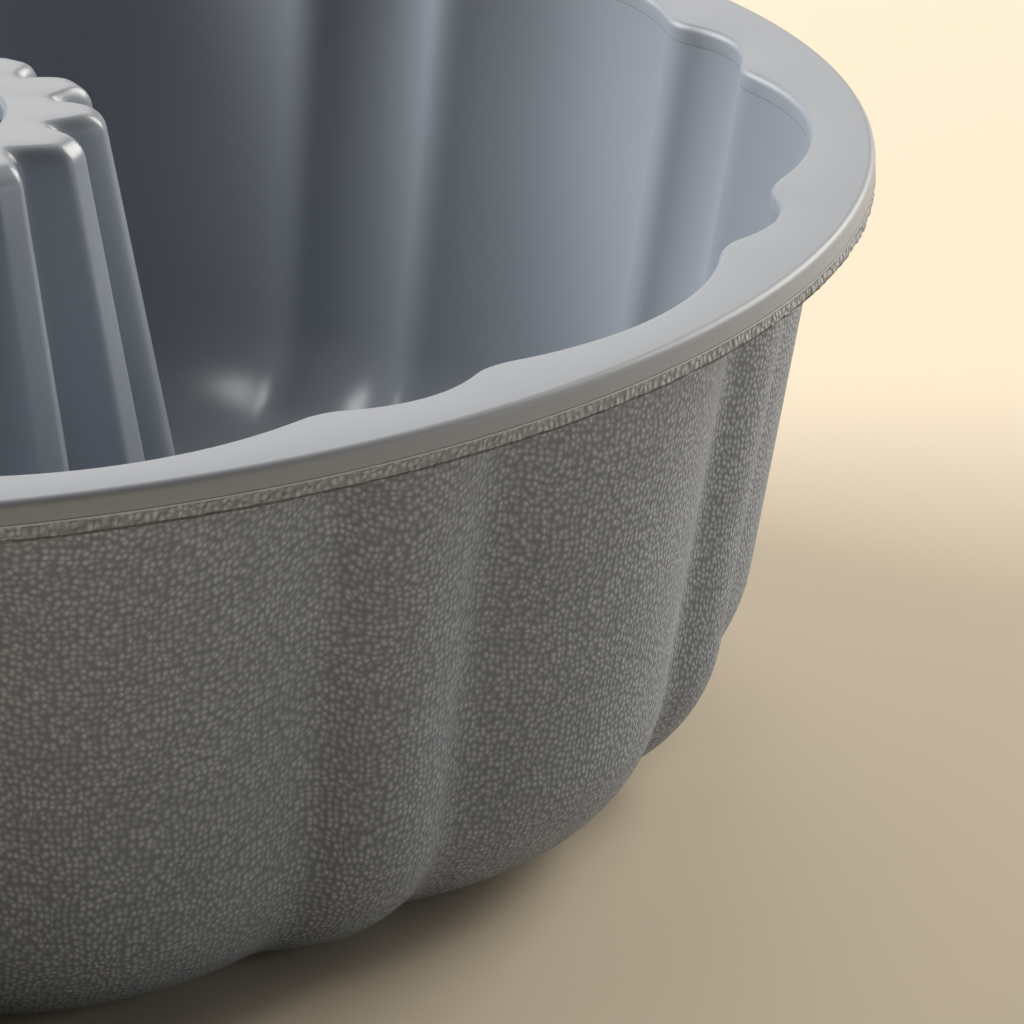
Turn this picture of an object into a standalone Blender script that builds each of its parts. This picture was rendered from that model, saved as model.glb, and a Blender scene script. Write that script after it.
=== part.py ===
"""Fluted tube cake pan, moulded in silicone, with a steel hoop inside its rim.

Three pieces: the fluted body, the hoop that lies in a groove of its flange,
and the smooth rim cap that is bonded over both. Metres, +Z up, origin at the
centre of the base, one wide flute's crown on +X.
"""
import math

import bmesh
import bpy

MM = 0.001

# Overall form
RIM_RADIUS = 125.0 * MM        # outer edge of the rim
PARTING_Z = 70.0 * MM          # seam between the body's flange and the rim cap
WALL = 2.6 * MM                # silicone thickness, the same all over the body

# Rim
RIM_REACH = 4.9 * MM           # from the wall's outer face at a crown to the rim's edge
FLANGE_DEPTH = 2.0 * MM        # body's flange, below the seam
FLANGE_EDGE = 0.4 * MM         # chamfer on the flange's lower edge
FLANGE_FILLET = 1.2 * MM       # between the flange's underside and the wall
CAP_HEIGHT = 2.6 * MM          # from the seam to the flat top of the rim
CAP_OUTER_ROUND = 0.9 * MM     # round on the cap's outer edge
CAP_INNER_ROUND = 0.6 * MM     # the same at the mouth

# Stiffening hoop, a flat steel strip
HOOP_WIDTH = 3.4 * MM
HOOP_THICKNESS = 0.8 * MM
HOOP_COVER = 1.6 * MM          # silicone outside the hoop's groove
SEAT_GAP = 0.3 * MM            # clearance between pieces that touch

# Side wall and its flutes, wide ones and narrow ones in turn
WALL_DRAFT = math.radians(10.8)
BASE_ROUND = 21.0 * MM         # outer radius where the wall turns under
FLUTE_PAIRS = 10
NARROW_HALF_ANGLE = math.radians(5.8)
FLUTE_DEPTH = 3.9 * MM         # from a wide crown in to the ridge between flutes
NARROW_SETBACK = 1.2 * MM      # narrow crowns stand this much further in
RIDGE_ROUND = 3.0 * MM         # half width of the rounded ridge

# Centre tube, with plain channels down it and an open top
TUBE_RISE = 4.4 * MM           # tube's top above the rim's top
TUBE_TOP_RADIUS = 31.8 * MM
TUBE_DRAFT = math.radians(8.8)
TUBE_EDGE = 3.2 * MM           # rounded edge of the tube's top
TUBE_FILLET = 10.0 * MM        # between the floor and the tube
CHANNELS = 15
CHANNEL_DEPTH = 4.5 * MM
CHANNEL_HALF_ANGLE = math.radians(9.5)
VENT_RADIUS = 19.8 * MM        # hole in the tube's top

# Facets
WIDE_FLANKS = (0.36, 0.70)     # shares of a wide flute's half angle with an extra column
CHANNEL_FLANKS = (0.5, 1.0)    # shares of a channel's half angle with a column
ARC_STEPS = 6
ROLL_STEPS = 3

PITCH = 2.0 * math.pi / FLUTE_PAIRS
WIDE_HALF_ANGLE = PITCH / 2.0 - NARROW_HALF_ANGLE
WALL_TOP_RADIUS = RIM_RADIUS - RIM_REACH
RIDGE_ANGLE = RIDGE_ROUND / WALL_TOP_RADIUS
CHANNEL_PITCH = 2.0 * math.pi / CHANNELS
FIRST_CHANNEL = CHANNEL_PITCH / 2.0    # so that a rib between two channels faces +X
RIM_TOP_Z = PARTING_Z + CAP_HEIGHT
TUBE_TOP_Z = RIM_TOP_Z + TUBE_RISE


def lobe(share, rounded):
    """Height of a lobe, 1 at its crown and 0 on the ridge beside it.

    share runs from 0 at the crown to 1 at the ridge. The lobe is a parabola
    that turns into the ridge's rounded top over its last stretch, rounded.
    """
    start = 1.0 - rounded
    if share <= start:
        height = 1.0 - share ** 2
    else:
        height = rounded + start / rounded * (1.0 - share) ** 2
    return (height - rounded) / start


def wall_flute(angle):
    """How far the wall lies inside the wide crowns' circle at an angle."""
    from_wide = abs((angle + PITCH / 2.0) % PITCH - PITCH / 2.0)
    if from_wide <= WIDE_HALF_ANGLE:
        height = lobe(from_wide / WIDE_HALF_ANGLE, RIDGE_ANGLE / WIDE_HALF_ANGLE)
        return FLUTE_DEPTH * (height - 1.0)
    from_narrow = PITCH / 2.0 - from_wide
    height = lobe(from_narrow / NARROW_HALF_ANGLE, RIDGE_ANGLE / NARROW_HALF_ANGLE)
    return (FLUTE_DEPTH - NARROW_SETBACK) * height - FLUTE_DEPTH


def tube_channel(angle):
    """How far the tube lies inside its own circle at an angle."""
    turn = (angle - FIRST_CHANNEL + CHANNEL_PITCH / 2.0) % CHANNEL_PITCH
    from_channel = abs(turn - CHANNEL_PITCH / 2.0)
    if from_channel >= CHANNEL_HALF_ANGLE:
        return 0.0
    return -CHANNEL_DEPTH * math.cos(from_channel / CHANNEL_HALF_ANGLE * math.pi / 2.0) ** 2


def wall_angles():
    """Angles of the wall's columns: each crown, flank and ridge of one pair, repeated."""
    wide_half = [share * WIDE_HALF_ANGLE for share in WIDE_FLANKS]
    wide_half.append(WIDE_HALF_ANGLE - RIDGE_ANGLE)
    narrow_flank = NARROW_HALF_ANGLE - RIDGE_ANGLE
    one_pair = [-a for a in reversed(wide_half)] + [0.0] + wide_half
    one_pair += [WIDE_HALF_ANGLE, PITCH / 2.0 - narrow_flank, PITCH / 2.0]
    one_pair += [PITCH / 2.0 + narrow_flank, PITCH - WIDE_HALF_ANGLE]
    return around(one_pair, PITCH, FLUTE_PAIRS)


def tube_angles():
    """Angles of the tube's columns: each channel's floor, sides and edges, repeated."""
    sides = [share * CHANNEL_HALF_ANGLE for share in CHANNEL_FLANKS]
    one_channel = [FIRST_CHANNEL + a for a in [-s for s in reversed(sides)] + [0.0] + sides]
    one_channel.append(FIRST_CHANNEL + CHANNEL_PITCH / 2.0)
    return around(one_channel, CHANNEL_PITCH, CHANNELS)


def around(angles, pitch, count):
    """One pattern's angles repeated all the way round, in order from +X."""
    return sorted((turn * pitch + a) % (2.0 * math.pi) for turn in range(count) for a in angles)


def arc(centre_r, centre_z, radius, start, end, steps=ARC_STEPS):
    """Points of a profile arc, as (radius, height), from one angle to another."""
    turns = [start + (end - start) * i / steps for i in range(steps + 1)]
    return [(centre_r + radius * math.cos(t), centre_z + radius * math.sin(t)) for t in turns]


def fluted(points, share=0.0):
    """Profile points with the share of the fluting that each one carries."""
    return [(r, z, share) for r, z in points]


def sweep(bm, angles, flute, section, closed=False):
    """Carry a section round the axis, letting each point follow its share of the fluting.

    Gives the rings of vertices that the section's first and last points make.
    """
    columns = []
    for angle in angles:
        inset = flute(angle)
        column = []
        for r, z, share in section:
            reach = r + share * inset
            column.append(bm.verts.new((reach * math.cos(angle), reach * math.sin(angle), z)))
        columns.append(column)
    spans = len(section) if closed else len(section) - 1
    for here, following in zip(columns, columns[1:] + columns[:1]):
        for i in range(spans):
            j = (i + 1) % len(section)
            bm.faces.new((here[i], following[i], following[j], here[j]))
    return [column[0] for column in columns], [column[-1] for column in columns]


def bridge(bm, outer, outer_angles, inner, inner_angles):
    """Fill a flat between two rings whose columns stand at different angles."""
    full_turn = 2.0 * math.pi
    outer_ends = outer_angles[1:] + [outer_angles[0] + full_turn]
    inner_ends = inner_angles[1:] + [inner_angles[0] + full_turn]
    i = j = 0
    while i < len(outer) or j < len(inner):
        here, facing = outer[i % len(outer)], inner[j % len(inner)]
        outer_next = outer_ends[i] if i < len(outer) else math.inf
        inner_next = inner_ends[j] if j < len(inner) else math.inf
        if outer_next <= inner_next:
            i += 1
            bm.faces.new((here, outer[i % len(outer)], facing))
        else:
            j += 1
            bm.faces.new((here, inner[j % len(inner)], facing))


def piece(name, bm, material):
    """Turn a finished mesh into a named object of the scene."""
    bmesh.ops.recalc_face_normals(bm, faces=bm.faces)
    mesh = bpy.data.meshes.new(name)
    bm.to_mesh(mesh)
    bm.free()
    mesh.shade_smooth()
    mesh.set_sharp_from_angle(angle=math.radians(35.0))
    mesh.materials.append(material)
    bpy.context.collection.objects.link(bpy.data.objects.new(name, mesh))


def finish(name, colour, roughness, metallic=0.0):
    """A plain Principled material."""
    material = bpy.data.materials.new(name)
    material.use_nodes = True
    shader = material.node_tree.nodes["Principled BSDF"]
    shader.inputs["Base Color"].default_value = (*colour, 1.0)
    shader.inputs["Roughness"].default_value = roughness
    shader.inputs["Metallic"].default_value = metallic
    return material


def wall_radius(z, offset=0.0):
    """Radius of the side wall at a wide crown, offset inwards from its outer face."""
    drop = (PARTING_Z - z) * math.tan(WALL_DRAFT)
    return WALL_TOP_RADIUS - drop - offset / math.cos(WALL_DRAFT)


def tube_radius(z, offset=0.0):
    """Radius of the centre tube, offset inwards from the face that the cake touches."""
    spread = (TUBE_TOP_Z - z) * math.tan(TUBE_DRAFT)
    return TUBE_TOP_RADIUS + spread - offset / math.cos(TUBE_DRAFT)


def base_arc(offset):
    """Where the wall turns under, from the wall down to the flat."""
    centre_z = BASE_ROUND
    centre_r = wall_radius(centre_z) - BASE_ROUND / math.cos(WALL_DRAFT)
    return arc(centre_r, centre_z, BASE_ROUND - offset, -WALL_DRAFT, -math.pi / 2.0)


def tube_arc(offset):
    """Where the floor turns up into the tube, from the flat to the tube."""
    centre_z = WALL + TUBE_FILLET
    centre_r = tube_radius(centre_z) + TUBE_FILLET / math.cos(TUBE_DRAFT)
    return arc(centre_r, centre_z, TUBE_FILLET + offset, -math.pi / 2.0, TUBE_DRAFT - math.pi)


def tube_foot(offset):
    """The tube's arc with its channels growing from nothing at the floor."""
    points = tube_arc(offset)
    last = len(points) - 1
    return [(r, z, i / last) for i, (r, z) in enumerate(points)]


def hoop_band():
    """Inner and outer radius of the steel hoop."""
    outer = RIM_RADIUS - HOOP_COVER - SEAT_GAP
    return outer - HOOP_WIDTH, outer


def wall_section():
    """Open profile of the wall, from the base up the outside, over the flange and
    down the inside to the floor."""
    flange_z = PARTING_Z - FLANGE_DEPTH
    wall_head_z = flange_z - FLANGE_FILLET
    hoop_inner, hoop_outer = hoop_band()
    groove_z = PARTING_Z - HOOP_THICKNESS - SEAT_GAP

    outside = fluted(reversed(base_arc(0.0)), 1.0)
    under_flange = fluted(arc(
        wall_radius(wall_head_z) + FLANGE_FILLET, wall_head_z, FLANGE_FILLET,
        math.pi, math.pi / 2.0, ROLL_STEPS), 1.0)
    flange = fluted([
        (RIM_RADIUS - FLANGE_EDGE, flange_z),
        (RIM_RADIUS, flange_z + FLANGE_EDGE),
        (RIM_RADIUS, PARTING_Z),
    ])
    groove = fluted([
        (hoop_outer + SEAT_GAP, PARTING_Z),
        (hoop_outer + SEAT_GAP, groove_z),
        (hoop_inner - SEAT_GAP, groove_z),
        (hoop_inner - SEAT_GAP, PARTING_Z),
    ])
    inside = fluted([(wall_radius(PARTING_Z, WALL), PARTING_Z)] + base_arc(WALL), 1.0)
    return outside + under_flange + flange + groove + inside


def tube_section():
    """Open profile of the tube, from the floor up, in at its top and down its hollow."""
    edge_z = TUBE_TOP_Z - TUBE_EDGE
    ceiling_z = TUBE_TOP_Z - WALL
    top = fluted(arc(
        tube_radius(edge_z) - TUBE_EDGE / math.cos(TUBE_DRAFT), edge_z, TUBE_EDGE,
        TUBE_DRAFT, math.pi / 2.0, ROLL_STEPS), 1.0)
    vent = fluted([(VENT_RADIUS, TUBE_TOP_Z), (VENT_RADIUS, ceiling_z)])
    ceiling = fluted([(tube_radius(ceiling_z, WALL), ceiling_z)], 1.0)
    return tube_foot(0.0) + top + vent + ceiling + list(reversed(tube_foot(WALL)))


def hoop_section():
    """The hoop's strip, lying flat in the groove with its top level with the seam."""
    inner, outer = hoop_band()
    top_z = PARTING_Z
    return fluted([
        (outer, top_z),
        (outer, top_z - HOOP_THICKNESS),
        (inner, top_z - HOOP_THICKNESS),
        (inner, top_z),
    ])


def cap_section():
    """The rim cap: flat below, flat on top, rounded at both edges."""
    seat_z = PARTING_Z + SEAT_GAP
    mouth = wall_radius(seat_z, WALL)
    outer_edge = fluted([(RIM_RADIUS, seat_z)] + arc(
        RIM_RADIUS - CAP_OUTER_ROUND, RIM_TOP_Z - CAP_OUTER_ROUND, CAP_OUTER_ROUND,
        0.0, math.pi / 2.0, ROLL_STEPS))
    inner_edge = fluted(arc(
        mouth + CAP_INNER_ROUND, RIM_TOP_Z - CAP_INNER_ROUND, CAP_INNER_ROUND,
        math.pi / 2.0, math.pi, ROLL_STEPS) + [(mouth, seat_z)], 1.0)
    return outer_edge + inner_edge


for old in list(bpy.data.objects):
    bpy.data.objects.remove(old, do_unlink=True)

around_wall = wall_angles()
around_tube = tube_angles()

bm = bmesh.new()
base_outer, floor_outer = sweep(bm, around_wall, wall_flute, wall_section())
floor_inner, base_inner = sweep(bm, around_tube, tube_channel, tube_section())
bridge(bm, base_outer, around_wall, base_inner, around_tube)
bridge(bm, floor_outer, around_wall, floor_inner, around_tube)
piece("body", bm, finish("silicone_body", (0.25, 0.255, 0.255), 0.55))

bm = bmesh.new()
sweep(bm, around_wall, wall_flute, hoop_section(), closed=True)
piece("rim_hoop", bm, finish("hoop_steel", (0.62, 0.62, 0.61), 0.35, 1.0))

bm = bmesh.new()
sweep(bm, around_wall, wall_flute, cap_section(), closed=True)
piece("rim_cap", bm, finish("silicone_rim", (0.28, 0.29, 0.30), 0.45))
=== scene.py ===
"""A fluted tube cake pan in moulded silicone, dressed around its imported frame.

Metres, +Z up, origin at the centre of the base, one wide flute's crown on +X.
"""

import math

import bmesh
import bpy
from mathutils import Matrix, Vector, noise


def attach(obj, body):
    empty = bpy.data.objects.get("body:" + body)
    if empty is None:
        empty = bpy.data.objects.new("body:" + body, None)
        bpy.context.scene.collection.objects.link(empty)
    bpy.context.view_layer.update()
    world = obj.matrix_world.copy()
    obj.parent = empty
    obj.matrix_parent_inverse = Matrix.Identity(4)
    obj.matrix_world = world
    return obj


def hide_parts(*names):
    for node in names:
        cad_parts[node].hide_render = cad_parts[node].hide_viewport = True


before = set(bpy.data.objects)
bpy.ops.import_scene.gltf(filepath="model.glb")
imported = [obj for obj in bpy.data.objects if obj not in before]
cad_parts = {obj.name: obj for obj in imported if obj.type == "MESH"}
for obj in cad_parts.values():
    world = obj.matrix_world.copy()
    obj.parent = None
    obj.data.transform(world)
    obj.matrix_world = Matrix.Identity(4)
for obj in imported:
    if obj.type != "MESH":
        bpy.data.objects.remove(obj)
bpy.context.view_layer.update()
MM = 0.001


# Body: the fluted wall, the floor, the centre tube and the flange under the rim, all one
# shot of grey silicone. The outer half of the mould is blasted to a pebble grain, and the
# inner half is polished, so the grain stops where the pan looks up or in.
RIM_RADIUS = 125.0 * MM
PARTING_Z = 70.0 * MM
WALL = 2.6 * MM
WALL_TOP_RADIUS = 120.1 * MM
WALL_DRAFT = math.radians(10.8)
BASE_ROUND = 21.0 * MM
FLANGE_DEPTH = 2.0 * MM
FLANGE_EDGE = 0.4 * MM
FLANGE_FILLET = 1.2 * MM

FLUTE_PAIRS = 10
PITCH = 2.0 * math.pi / FLUTE_PAIRS
NARROW_HALF_ANGLE = math.radians(5.8)
WIDE_HALF_ANGLE = PITCH / 2.0 - NARROW_HALF_ANGLE
FLUTE_DEPTH = 3.9 * MM
NARROW_SETBACK = 1.2 * MM
RIDGE_ANGLE = 3.0 * MM / WALL_TOP_RADIUS

TUBE_TOP_Z = 77.0 * MM
TUBE_TOP_RADIUS = 31.8 * MM
TUBE_DRAFT = math.radians(8.8)
TUBE_EDGE = 3.2 * MM
TUBE_FILLET = 10.0 * MM
VENT_RADIUS = 19.8 * MM
VENT_EDGE = 0.8 * MM
CHANNELS = 15
CHANNEL_PITCH = 2.0 * math.pi / CHANNELS
CHANNEL_DEPTH = 4.5 * MM
CHANNEL_HALF_ANGLE = math.radians(9.5)

HOOP_INNER = 119.7 * MM
HOOP_OUTER = 123.1 * MM
HOOP_THICKNESS = 0.8 * MM
SEAT_GAP = 0.3 * MM

COLUMNS = 720                  # one every half degree
STRAIGHT_STEPS = 10            # along the wall, the tube and its hollow
OUTER_TURN_STEPS = 16
INNER_TURN_STEPS = 14
FLANGE_FILLET_STEPS = 5
FLANGE_EDGE_STEPS = 3
FLANGE_SIDE_STEPS = 4
TUBE_FOOT_STEPS = 8
TUBE_EDGE_STEPS = 7
VENT_EDGE_STEPS = 4
SMOOTH_UP_TO = math.radians(40.0)
GRAIN_PITCH = 0.82 * MM
GRAIN_ANGLE = GRAIN_PITCH / RIM_RADIUS
STRIP_BUMPS = 0.30 * MM        # depth of the bumps round the flange's side
SEAM_BAND = 0.20 * MM          # height of the paler hairline at the seam


def lobe(share, rounded):
    """Height of a lobe, 1 at its crown and 0 on the rounded ridge beside it."""
    start = 1.0 - rounded
    if share <= start:
        height = 1.0 - share ** 2
    else:
        height = rounded + start / rounded * (1.0 - share) ** 2
    return (height - rounded) / start


def wall_flute(angle):
    """How far the wall lies inside the wide crowns' circle at an angle."""
    from_wide = abs((angle + PITCH / 2.0) % PITCH - PITCH / 2.0)
    if from_wide <= WIDE_HALF_ANGLE:
        height = lobe(from_wide / WIDE_HALF_ANGLE, RIDGE_ANGLE / WIDE_HALF_ANGLE)
        return FLUTE_DEPTH * (height - 1.0)
    from_narrow = PITCH / 2.0 - from_wide
    height = lobe(from_narrow / NARROW_HALF_ANGLE, RIDGE_ANGLE / NARROW_HALF_ANGLE)
    return (FLUTE_DEPTH - NARROW_SETBACK) * height - FLUTE_DEPTH


def tube_channel(angle):
    """How far the tube lies inside its own circle at an angle."""
    from_channel = abs(angle % CHANNEL_PITCH - CHANNEL_PITCH / 2.0)
    if from_channel >= CHANNEL_HALF_ANGLE:
        return 0.0
    return -CHANNEL_DEPTH * math.cos(from_channel / CHANNEL_HALF_ANGLE * math.pi / 2.0) ** 2


def wall_radius(z, offset=0.0):
    """Radius of the wall at a wide crown, offset inwards from its outer face."""
    drop = (PARTING_Z - z) * math.tan(WALL_DRAFT)
    return WALL_TOP_RADIUS - drop - offset / math.cos(WALL_DRAFT)


def tube_radius(z, offset=0.0):
    """Radius of the tube, offset inwards from the face that the cake touches."""
    spread = (TUBE_TOP_Z - z) * math.tan(TUBE_DRAFT)
    return TUBE_TOP_RADIUS + spread - offset / math.cos(TUBE_DRAFT)


def arc(centre_r, centre_z, radius, start, end, steps):
    """Points of a profile arc, as (radius, height), from one angle to another."""
    turns = [start + (end - start) * i / steps for i in range(steps + 1)]
    return [(centre_r + radius * math.cos(t), centre_z + radius * math.sin(t)) for t in turns]


def straight(start, end, steps):
    """Points between two ends of a straight stretch, without the ends."""
    (r0, z0), (r1, z1) = start, end
    shares = [i / steps for i in range(1, steps)]
    return [(r0 + (r1 - r0) * s, z0 + (z1 - z0) * s) for s in shares]


def follow(points, wall=0.0, tube=0.0, bumps=0.0):
    """Profile points with the wall's and the tube's fluting and the bumps that they carry."""
    return [(r, z, wall, tube, bumps) for r, z in points]


def bump(angle, z):
    """A pebble's depth, 0 to 1. One pebble is about three quarters of a column wide."""
    cell = Vector((angle / GRAIN_ANGLE, z / GRAIN_PITCH, 0.5))
    return min(1.0, max(0.0, 0.5 + noise.noise(cell)))


def lay_ring(piece, point):
    """Put the selected ring of vertices on its own fluted outline."""
    r, z, wall, tube, bumps = point
    bm = bmesh.from_edit_mesh(piece.data)
    for vertex in bm.verts:
        if vertex.select:
            angle = math.atan2(vertex.co.y, vertex.co.x)
            reach = r + wall * wall_flute(angle) + tube * tube_channel(angle)
            if bumps:
                reach -= bumps * bump(angle, z)
            vertex.co = (reach * math.cos(angle), reach * math.sin(angle), z)
    bmesh.update_edit_mesh(piece.data)


def draw_rings(name, profile):
    """Extrude a circle from point to point of a closed profile and bridge its two ends."""
    bpy.ops.object.select_all(action="DESELECT")
    bpy.ops.mesh.primitive_circle_add(vertices=COLUMNS, radius=profile[0][0])
    piece = bpy.context.object
    piece.name = name
    bpy.ops.object.mode_set(mode="EDIT")
    bpy.ops.mesh.select_mode(type="EDGE")
    bpy.ops.mesh.select_all(action="SELECT")
    lay_ring(piece, profile[0])
    for point in profile[1:]:
        bpy.ops.mesh.extrude_region()
        lay_ring(piece, point)
    bpy.ops.mesh.select_all(action="DESELECT")
    bpy.ops.mesh.select_non_manifold()
    bpy.ops.mesh.bridge_edge_loops()
    bpy.ops.mesh.select_all(action="SELECT")
    bpy.ops.mesh.normals_make_consistent(inside=False)
    bpy.ops.object.mode_set(mode="OBJECT")
    bpy.ops.object.shade_smooth_by_angle(angle=SMOOTH_UP_TO)
    return piece


def base_arc(offset, steps):
    """Where the wall turns under, from the wall down to the flat."""
    centre_r = wall_radius(BASE_ROUND) - BASE_ROUND / math.cos(WALL_DRAFT)
    return arc(centre_r, BASE_ROUND, BASE_ROUND - offset,
               -WALL_DRAFT, -math.pi / 2.0, steps)


def tube_foot(offset):
    """Where the floor turns up into the tube, its channels growing from nothing."""
    centre_z = WALL + TUBE_FILLET
    centre_r = tube_radius(centre_z) + TUBE_FILLET / math.cos(TUBE_DRAFT)
    points = arc(centre_r, centre_z, TUBE_FILLET + offset,
                 -math.pi / 2.0, TUBE_DRAFT - math.pi, TUBE_FOOT_STEPS)
    return [(r, z, 0.0, i / TUBE_FOOT_STEPS, 0.0) for i, (r, z) in enumerate(points)]


flange_z = PARTING_Z - FLANGE_DEPTH
wall_head_z = flange_z - FLANGE_FILLET
outer_turn = list(reversed(base_arc(0.0, OUTER_TURN_STEPS)))
under_flange = arc(wall_radius(wall_head_z) + FLANGE_FILLET, wall_head_z, FLANGE_FILLET,
                   math.pi, math.pi / 2.0, FLANGE_FILLET_STEPS)
flange_edge = arc(RIM_RADIUS - FLANGE_EDGE, flange_z + FLANGE_EDGE, FLANGE_EDGE,
                  -math.pi / 2.0, 0.0, FLANGE_EDGE_STEPS)
seam_band = [(RIM_RADIUS, PARTING_Z - SEAM_BAND), (RIM_RADIUS, PARTING_Z)]
flange_side = straight(flange_edge[-1], seam_band[0], FLANGE_SIDE_STEPS)
inner_turn = base_arc(WALL, INNER_TURN_STEPS)
mouth = (wall_radius(PARTING_Z, WALL), PARTING_Z)
groove_z = PARTING_Z - HOOP_THICKNESS - SEAT_GAP

outer_wall = straight(outer_turn[-1], under_flange[0], STRAIGHT_STEPS)
body_profile = follow(outer_turn + outer_wall + under_flange, wall=1.0)
body_profile += follow(flange_edge[:1])
body_profile += follow(flange_edge[1:] + flange_side, bumps=STRIP_BUMPS)
body_profile += follow(seam_band)
body_profile += follow([
    (HOOP_OUTER + SEAT_GAP, PARTING_Z),
    (HOOP_OUTER + SEAT_GAP, groove_z),
    (HOOP_INNER - SEAT_GAP, groove_z),
    (HOOP_INNER - SEAT_GAP, PARTING_Z),
])
inner_wall = straight(mouth, inner_turn[0], STRAIGHT_STEPS)
body_profile += follow([mouth] + inner_wall + inner_turn, wall=1.0)

tube_edge_z = TUBE_TOP_Z - TUBE_EDGE
tube_edge = arc(tube_radius(tube_edge_z) - TUBE_EDGE / math.cos(TUBE_DRAFT), tube_edge_z,
                TUBE_EDGE, TUBE_DRAFT, math.pi / 2.0, TUBE_EDGE_STEPS)
ceiling_z = TUBE_TOP_Z - WALL
ceiling = (tube_radius(ceiling_z, WALL), ceiling_z)
foot = tube_foot(0.0)
tube_side = straight(foot[-1][:2], tube_edge[0], STRAIGHT_STEPS)
vent_edge = arc(VENT_RADIUS + VENT_EDGE, TUBE_TOP_Z - VENT_EDGE, VENT_EDGE,
                math.pi / 2.0, math.pi, VENT_EDGE_STEPS)
hollow_foot = list(reversed(tube_foot(WALL)))
hollow_side = straight(ceiling, hollow_foot[0][:2], STRAIGHT_STEPS)
body_profile += foot + follow(tube_side + tube_edge, tube=1.0)
body_profile += follow(vent_edge + [(VENT_RADIUS, ceiling_z)])
body_profile += follow([ceiling] + hollow_side, tube=1.0) + hollow_foot

body = draw_rings("pan_body", body_profile)


def hex_colour(code):
    """A colour written as #RRGGBB in sRGB, as linear values with alpha."""
    values = [int(code[i:i + 2], 16) / 255.0 for i in (1, 3, 5)]
    linear = [v / 12.92 if v <= 0.04045 else ((v + 0.055) / 1.055) ** 2.4 for v in values]
    return (*linear, 1.0)


def add_node(owner, kind, links=(), **settings):
    """Add a node to a material or a world: its settings, its inputs' values and its links."""
    node = owner.node_tree.nodes.new("ShaderNode" + kind)
    inputs = settings.pop("inputs", {})
    for name, value in settings.items():
        setattr(node, name, value)
    for socket, value in inputs.items():
        node.inputs[socket].default_value = value
    for socket, source in dict(links).items():
        owner.node_tree.links.new(source, node.inputs[socket])
    return node


def new_material(name):
    """An empty node material, and the object's own coordinates to draw it in."""
    material = bpy.data.materials.new(name)
    material.use_nodes = True
    material.node_tree.nodes.clear()
    place = add_node(material, "TexCoord").outputs["Object"]
    return material, place


# Grained silicone: a matt cool grey, moulded against a blasted and etched steel wall. Its
# raised pebbles, about 0.8 mm apart, have a painted highlight on their crowns and painted shade
# in the gaps between them.
# The wall's pebbles lie evenly on the unrolled wall, and those under the base fill space.
GRAIN_RADIUS = WALL_TOP_RADIUS - 5.0 * MM    # where a pebble is as wide as it is long
GRAIN_RISE = 0.86              # takes radius and height together to length along the wall
GRAIN_SWAY = 2.4 * GRAIN_PITCH           # how far the rows of pebbles wander
GRAIN_SWAY_SCALE = 0.09 / GRAIN_PITCH    # one bend in about eleven pebbles
GRAIN_DISORDER = 0.72
GRAIN_EDGE = 0.70              # distance from a pebble's crown to its gap, in pitches
DULLEST_PEBBLE = 0.35          # share of the paler colour that the dullest pebble takes
CLOUD_SCALE = 60.0             # one cloud in about 17 mm
# the gaps' painted shade and the crowns' painted highlight, on one grey silicone
GAP_SHADE_GREY, CROWN_HIGHLIGHT_GREY = "#79808A", "#B3BAC5"
WALL_RELIEF = 0.12 * MM
STRIP_RELIEF = 0.30 * MM


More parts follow.
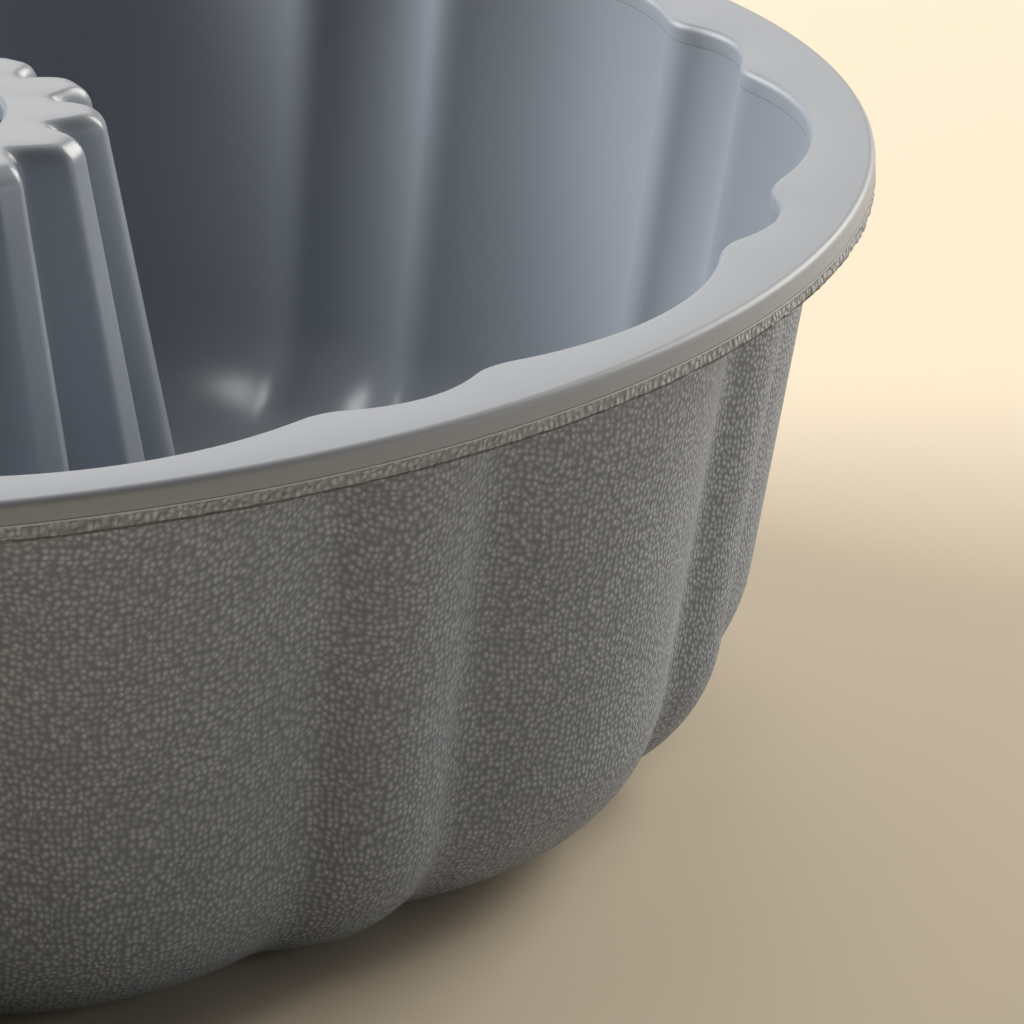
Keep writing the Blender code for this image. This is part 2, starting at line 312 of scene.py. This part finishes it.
def pebble_grain(name, gap, pebble, relief, unrolled=True):
    """The grained silicone, its pattern unrolled round the axis or left in space."""
    grained, place = new_material(name)
    if unrolled:
        turned = add_node(grained, "Mapping", {"Vector": place}, vector_type="TEXTURE",
                          inputs={"Rotation": (0.0, 0.0, -WIDE_HALF_ANGLE)})
        part = add_node(grained, "SeparateXYZ", {"Vector": turned.outputs["Vector"]})
        x, y, z = (part.outputs[axis] for axis in "XYZ")
        angle = add_node(grained, "Math", {0: y, 1: x}, operation="ARCTAN2")
        around = add_node(grained, "Math", {0: angle.outputs["Value"]}, operation="MULTIPLY",
                          inputs={1: GRAIN_RADIUS})
        flat = add_node(grained, "CombineXYZ", {"X": x, "Y": y})
        reach = add_node(grained, "VectorMath", {0: flat.outputs["Vector"]}, operation="LENGTH")
        along = add_node(grained, "Math", {0: reach.outputs["Value"], 1: z}, operation="ADD")
        along = add_node(grained, "Math", {0: along.outputs["Value"]}, operation="MULTIPLY",
                         inputs={1: GRAIN_RISE})
        place = add_node(grained, "CombineXYZ", {"X": around.outputs["Value"],
                                                 "Y": along.outputs["Value"]}).outputs["Vector"]
    sway = add_node(grained, "TexNoise", {"Vector": place},
                    inputs={"Scale": GRAIN_SWAY_SCALE, "Detail": 1.0})
    sway = add_node(grained, "VectorMath", {0: sway.outputs["Color"]},
                    operation="SCALE", inputs={"Scale": GRAIN_SWAY})
    spot = add_node(grained, "VectorMath", {0: place, 1: sway.outputs["Vector"]},
                    operation="ADD")
    pebbles = add_node(grained, "TexVoronoi", {"Vector": spot.outputs["Vector"]},
                       voronoi_dimensions="2D" if unrolled else "3D",
                       inputs={"Scale": 1.0 / GRAIN_PITCH, "Randomness": GRAIN_DISORDER})
    dome = add_node(grained, "MapRange", {"Value": pebbles.outputs["Distance"]},
                    interpolation_type="SMOOTHSTEP",
                    inputs={"From Min": GRAIN_EDGE, "From Max": 0.0})
    chance = add_node(grained, "SeparateColor", {"Color": pebbles.outputs["Color"]})
    share = add_node(grained, "MapRange", {"Value": chance.outputs["Red"]},
                     inputs={"To Min": DULLEST_PEBBLE})
    crown_highlight = add_node(grained, "Math", {0: dome.outputs["Result"], 1: share.outputs["Result"]},
                    operation="MULTIPLY")
    drift = add_node(grained, "TexNoise", {"Vector": place},
                     inputs={"Scale": CLOUD_SCALE, "Detail": 3.0})
    # crowns painted paler and gaps painted darker: a painted highlight and painted shade
    colour = add_node(grained, "Mix", {"Factor": crown_highlight.outputs["Value"]}, data_type="RGBA")
    colour.inputs[6].default_value = hex_colour(gap)
    colour.inputs[7].default_value = hex_colour(pebble)
    clouded = add_node(grained, "Mix", {"Factor": drift.outputs["Fac"], 6: colour.outputs[2]},
                       data_type="RGBA", blend_type="MULTIPLY")
    clouded.inputs[7].default_value = hex_colour("#EDEDED")
    raised = add_node(grained, "Bump", {"Height": dome.outputs["Result"]},
                      inputs={"Strength": 1.0, "Distance": relief})
    shader = add_node(grained, "BsdfPrincipled",
                      {"Base Color": clouded.outputs[2], "Normal": raised.outputs["Normal"]},
                      inputs={"Roughness": 0.58, "IOR": 1.42, "Specular IOR Level": 0.5})
    add_node(grained, "OutputMaterial", {"Surface": shader.outputs["BSDF"]})
    return grained


wall_grain = pebble_grain("silicone_pebble_grain", GAP_SHADE_GREY, CROWN_HIGHLIGHT_GREY, WALL_RELIEF)
base_grain = pebble_grain("silicone_pebble_grain_base", GAP_SHADE_GREY, CROWN_HIGHLIGHT_GREY, WALL_RELIEF,
                          unrolled=False)
# The flange's side is coarser and painted paler as a painted highlight; its lower edge is
# painted darker as a painted shade line.
strip_grain = pebble_grain("silicone_coarse_painted_lit_edge", "#94989D", "#CACED2", STRIP_RELIEF)
painted_shade_grain = pebble_grain("silicone_edge_painted_shade", "#55575B", "#6E7074", WALL_RELIEF)

# Polished silicone: the same cool grey, smooth and satin, with faint tool marks. Its colour
# and its gloss drift a little from place to place. The roughness stays above 0.28: where it
# drifted across 0.27, the denoised picture showed contour lines.
SATIN_WAVE = 28.0 * MM
TOOL_MARKS = 0.35 * MM         # coarser than the real ones, so that they show
TOOL_RELIEF = 0.01 * MM
GLOSS_DRIFT = 0.03


def smooth_silicone(name, darker, paler, roughness):
    """Polished silicone, its grey and its gloss drifting a little from place to place."""
    smooth, place = new_material(name)
    wave = add_node(smooth, "TexNoise", {"Vector": place},
                    inputs={"Scale": 1.0 / SATIN_WAVE, "Detail": 0.0})
    fine = add_node(smooth, "TexNoise", {"Vector": place},
                    inputs={"Scale": 1.0 / TOOL_MARKS, "Detail": 1.0})
    colour = add_node(smooth, "Mix", {"Factor": wave.outputs["Fac"]}, data_type="RGBA")
    colour.inputs[6].default_value = hex_colour(darker)
    colour.inputs[7].default_value = hex_colour(paler)
    gloss = add_node(smooth, "MapRange", {"Value": wave.outputs["Fac"]},
                     inputs={"To Min": roughness, "To Max": roughness + GLOSS_DRIFT})
    tooled = add_node(smooth, "Bump", {"Height": fine.outputs["Fac"]},
                      inputs={"Strength": 0.15, "Distance": TOOL_RELIEF})
    shader = add_node(smooth, "BsdfPrincipled",
                      {"Base Color": colour.outputs[2], "Roughness": gloss.outputs["Result"],
                       "Normal": tooled.outputs["Normal"]},
                      inputs={"IOR": 1.46, "Specular IOR Level": 0.5})
    add_node(smooth, "OutputMaterial", {"Surface": shader.outputs["BSDF"]})
    return smooth


satin = smooth_silicone("silicone_satin", "#9298A0", "#969CA4", roughness=0.285)
# The seam's band is coloured paler and duller than the faces beside it, a thin pale hairline.
seam_silicone = smooth_silicone("silicone_seam_flash", "#B4BAC2", "#BCC2CA", roughness=0.40)

SATIN, WALL_GRAIN, BASE_GRAIN, STRIP_GRAIN, EDGE_PAINTED_SHADE, SEAM = range(6)
for silicone in (satin, wall_grain, base_grain, strip_grain, painted_shade_grain, seam_silicone):
    body.data.materials.append(silicone)
LOOKS_DOWN = -0.05             # a face is grained where its normal falls below this
FLANGE_TOP = PARTING_Z - 0.1 * SEAM_BAND
PAINTED_SHADE_TOP = flange_z + 0.9 * FLANGE_EDGE
base_flat_radius = outer_turn[0][0]
for face in body.data.polygons:
    reach, height = math.hypot(face.center.x, face.center.y), face.center.z
    on_flange = reach > RIM_RADIUS - FLANGE_EDGE and height < FLANGE_TOP
    if reach < base_flat_radius and face.normal.z < LOOKS_DOWN:
        look = BASE_GRAIN
    elif on_flange and height > PARTING_Z - SEAM_BAND:
        look = SEAM
    elif on_flange:
        # the flange's lower edge takes the darker copy of the grain, a painted shade line; the
        # rest of its side takes the paler, painted-highlight copy
        look = EDGE_PAINTED_SHADE if height < PAINTED_SHADE_TOP else STRIP_GRAIN
    elif face.normal.z < LOOKS_DOWN:
        look = WALL_GRAIN
    else:
        look = SATIN
    face.material_index = look
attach(body, "root")
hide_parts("body")


# Rim cap: a second, smooth band of silicone over the hoop, flat on top with a small round
# at either edge. It is moulded onto the flange, and a paler hairline marks the seam. Its
# satin looks a little paler and duller than the pan's inside.
CAP_HEIGHT = 2.6 * MM
CAP_OUTER_ROUND = 0.9 * MM
CAP_INNER_ROUND = 1.0 * MM
CAP_SEAT = 0.05 * MM           # room over the flange, so that the two faces stay apart
CAP_SETBACK = 0.04 * MM        # how far its side lies inside the flange's
CAP_OUTER_STEPS = 6
CAP_INNER_STEPS = 5
rim_top_z = PARTING_Z + CAP_HEIGHT
seat_z = PARTING_Z + CAP_SEAT
cap_radius = RIM_RADIUS - CAP_SETBACK
cap_mouth = wall_radius(seat_z, WALL)

outer_round = arc(cap_radius - CAP_OUTER_ROUND, rim_top_z - CAP_OUTER_ROUND,
                  CAP_OUTER_ROUND, 0.0, math.pi / 2.0, CAP_OUTER_STEPS)
inner_round = arc(cap_mouth + CAP_INNER_ROUND, rim_top_z - CAP_INNER_ROUND,
                  CAP_INNER_ROUND, math.pi / 2.0, math.pi, CAP_INNER_STEPS)
cap_profile = follow([(cap_radius, seat_z)] + outer_round)
cap_profile += follow(inner_round + [(cap_mouth, seat_z)], wall=1.0)
cap = draw_rings("rim_cap_moulded", cap_profile)
rim_satin = smooth_silicone("silicone_satin_rim", "#979CA3", "#9BA0A7", roughness=0.42)
cap.data.materials.append(rim_satin)
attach(cap, "root")
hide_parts("rim_cap")


# Hoop: a flat strip of stainless spring steel, rolled to a ring and butt welded, laid in
# the flange's groove before the rim cap is moulded over it. Rolling leaves fine streaks
# along its edges, and a gloss that drifts from dull to bright.
STREAK_SCALE = 120.0           # one drift in about 8 mm along the strip
STREAK_SQUEEZE = (1.0, 1.0, 40.0)        # and one streak in about 0.2 mm of its thickness
steel, place = new_material("spring_steel_rolled")
squeezed = add_node(steel, "Mapping", {"Vector": place}, inputs={"Scale": STREAK_SQUEEZE})
streaks = add_node(steel, "TexNoise", {"Vector": squeezed.outputs["Vector"]},
                   inputs={"Scale": STREAK_SCALE, "Detail": 4.0})
steel_colour = add_node(steel, "Mix", {"Factor": streaks.outputs["Fac"]}, data_type="RGBA")
steel_colour.inputs[6].default_value = hex_colour("#B9B8B4")
steel_colour.inputs[7].default_value = hex_colour("#CFCECA")
rolled = add_node(steel, "MapRange", {"Value": streaks.outputs["Fac"]},
                  inputs={"To Min": 0.28, "To Max": 0.42})
shader = add_node(steel, "BsdfPrincipled",
                  {"Base Color": steel_colour.outputs[2], "Roughness": rolled.outputs["Result"]},
                  inputs={"Metallic": 1.0})
add_node(steel, "OutputMaterial", {"Surface": shader.outputs["BSDF"]})
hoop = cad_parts["rim_hoop"]
hoop.data.materials.clear()
hoop.data.materials.append(steel)


# Floor: a plain pale table top that the pan stands on, painted a matt cream. The paint
# gives a soft shine and a colour that hardly drifts.
TABLE_SIZE = 6.0
bpy.ops.object.select_all(action="DESELECT")
bpy.ops.mesh.primitive_plane_add(size=TABLE_SIZE)
floor = bpy.context.object
floor.name = "floor"
table_top, place = new_material("table_top_cream")
cloud = add_node(table_top, "TexNoise", {"Vector": place},
                 inputs={"Scale": 3.0, "Detail": 2.0})
cream = add_node(table_top, "Mix", {"Factor": cloud.outputs["Fac"]}, data_type="RGBA")
cream.inputs[6].default_value = hex_colour("#DECFB6")
cream.inputs[7].default_value = hex_colour("#E2D4BD")
shader = add_node(table_top, "BsdfPrincipled", {"Base Color": cream.outputs[2]},
                  inputs={"Roughness": 0.6, "Specular IOR Level": 0.3})
add_node(table_top, "OutputMaterial", {"Surface": shader.outputs["BSDF"]})
floor.data.materials.append(table_top)


# Light: a wide neutral window on the left behind the pan, a weaker and warmer one on the
# right behind it, and three faint lamps straight behind, low on the right and overhead.
# The room itself is dim and warm, brighter in gloss, and pale where the camera sees it.
LAMP_AIM = Vector((0.0, 0.0, 0.05))


def soft_light(name, azimuth, elevation, distance, size, energy, colour):
    """A square area lamp that faces the pan from a direction in degrees."""
    lamp = bpy.data.lights.new(name, "AREA")
    lamp.shape = "SQUARE"
    lamp.size = size
    lamp.energy = energy
    lamp.color = hex_colour(colour)[:3]
    holder = bpy.data.objects.new(name, lamp)
    bpy.context.scene.collection.objects.link(holder)
    turn, rise = math.radians(azimuth), math.radians(elevation)
    toward = Vector((math.cos(turn) * math.cos(rise), math.sin(turn) * math.cos(rise),
                     math.sin(rise)))
    holder.location = toward * distance + LAMP_AIM
    holder.rotation_euler = toward.to_track_quat("Z", "Y").to_euler()


# azimuth and elevation in degrees, distance and width in metres, power in watts
soft_light("window_left", 152.0, 29.0, 2.4, 1.54, 91.0, "#FDFEFF")
soft_light("window_right", 40.0, 25.0, 2.6, 1.56, 72.0, "#FFFAF2")
soft_light("window_back", 92.0, 24.0, 2.6, 1.44, 9.0, "#FFF5EB")
soft_light("wall_front", -20.0, 8.0, 1.6, 0.8, 4.4, "#FAFCFF")
soft_light("ceiling", 95.0, 80.0, 2.4, 1.6, 6.0, "#FFF8EE")

ROOM_LIGHT = 0.01
ROOM_IN_GLOSS = 0.10
ROOM_IN_VIEW = 0.74
room = bpy.data.worlds.new("room")
bpy.context.scene.world = room
room.use_nodes = True
backdrop = room.node_tree.nodes["Background"]
backdrop.inputs["Color"].default_value = hex_colour("#EFE2CE")
rays = add_node(room, "LightPath")
in_gloss = add_node(room, "Math", {0: rays.outputs["Is Glossy Ray"]},
                    operation="MULTIPLY_ADD", inputs={1: ROOM_IN_GLOSS, 2: ROOM_LIGHT})
in_view = add_node(room, "Math",
                   {0: rays.outputs["Is Camera Ray"], 2: in_gloss.outputs["Value"]},
                   operation="MULTIPLY_ADD", inputs={1: ROOM_IN_VIEW})
room.node_tree.links.new(in_view.outputs["Value"], backdrop.inputs["Strength"])


# Camera: a long lens from a little above the rim, as the photograph was taken. Its place
# and its turn come from a fit to the rim, the creases and the tube in the photograph.
CAMERA_PLACE = Vector((0.060864, -0.684800, 0.28435))
LOOK = Vector((0.026543, 0.934016, -0.356242))
RIGHT = Vector((0.999164, -0.035879, -0.019624))
UP = Vector((0.031112, 0.355423, 0.934188))
camera_data = bpy.data.cameras.new("photo_camera")
camera_data.sensor_width = 36.0
camera_data.lens = 207.32
camera = bpy.data.objects.new("photo_camera", camera_data)
bpy.context.scene.collection.objects.link(camera)
stance = Matrix((RIGHT, UP, -LOOK)).transposed().to_4x4()
stance.translation = CAMERA_PLACE
camera.matrix_world = stance
bpy.context.scene.camera = camera

bpy.context.scene.view_settings.view_transform = "Standard"
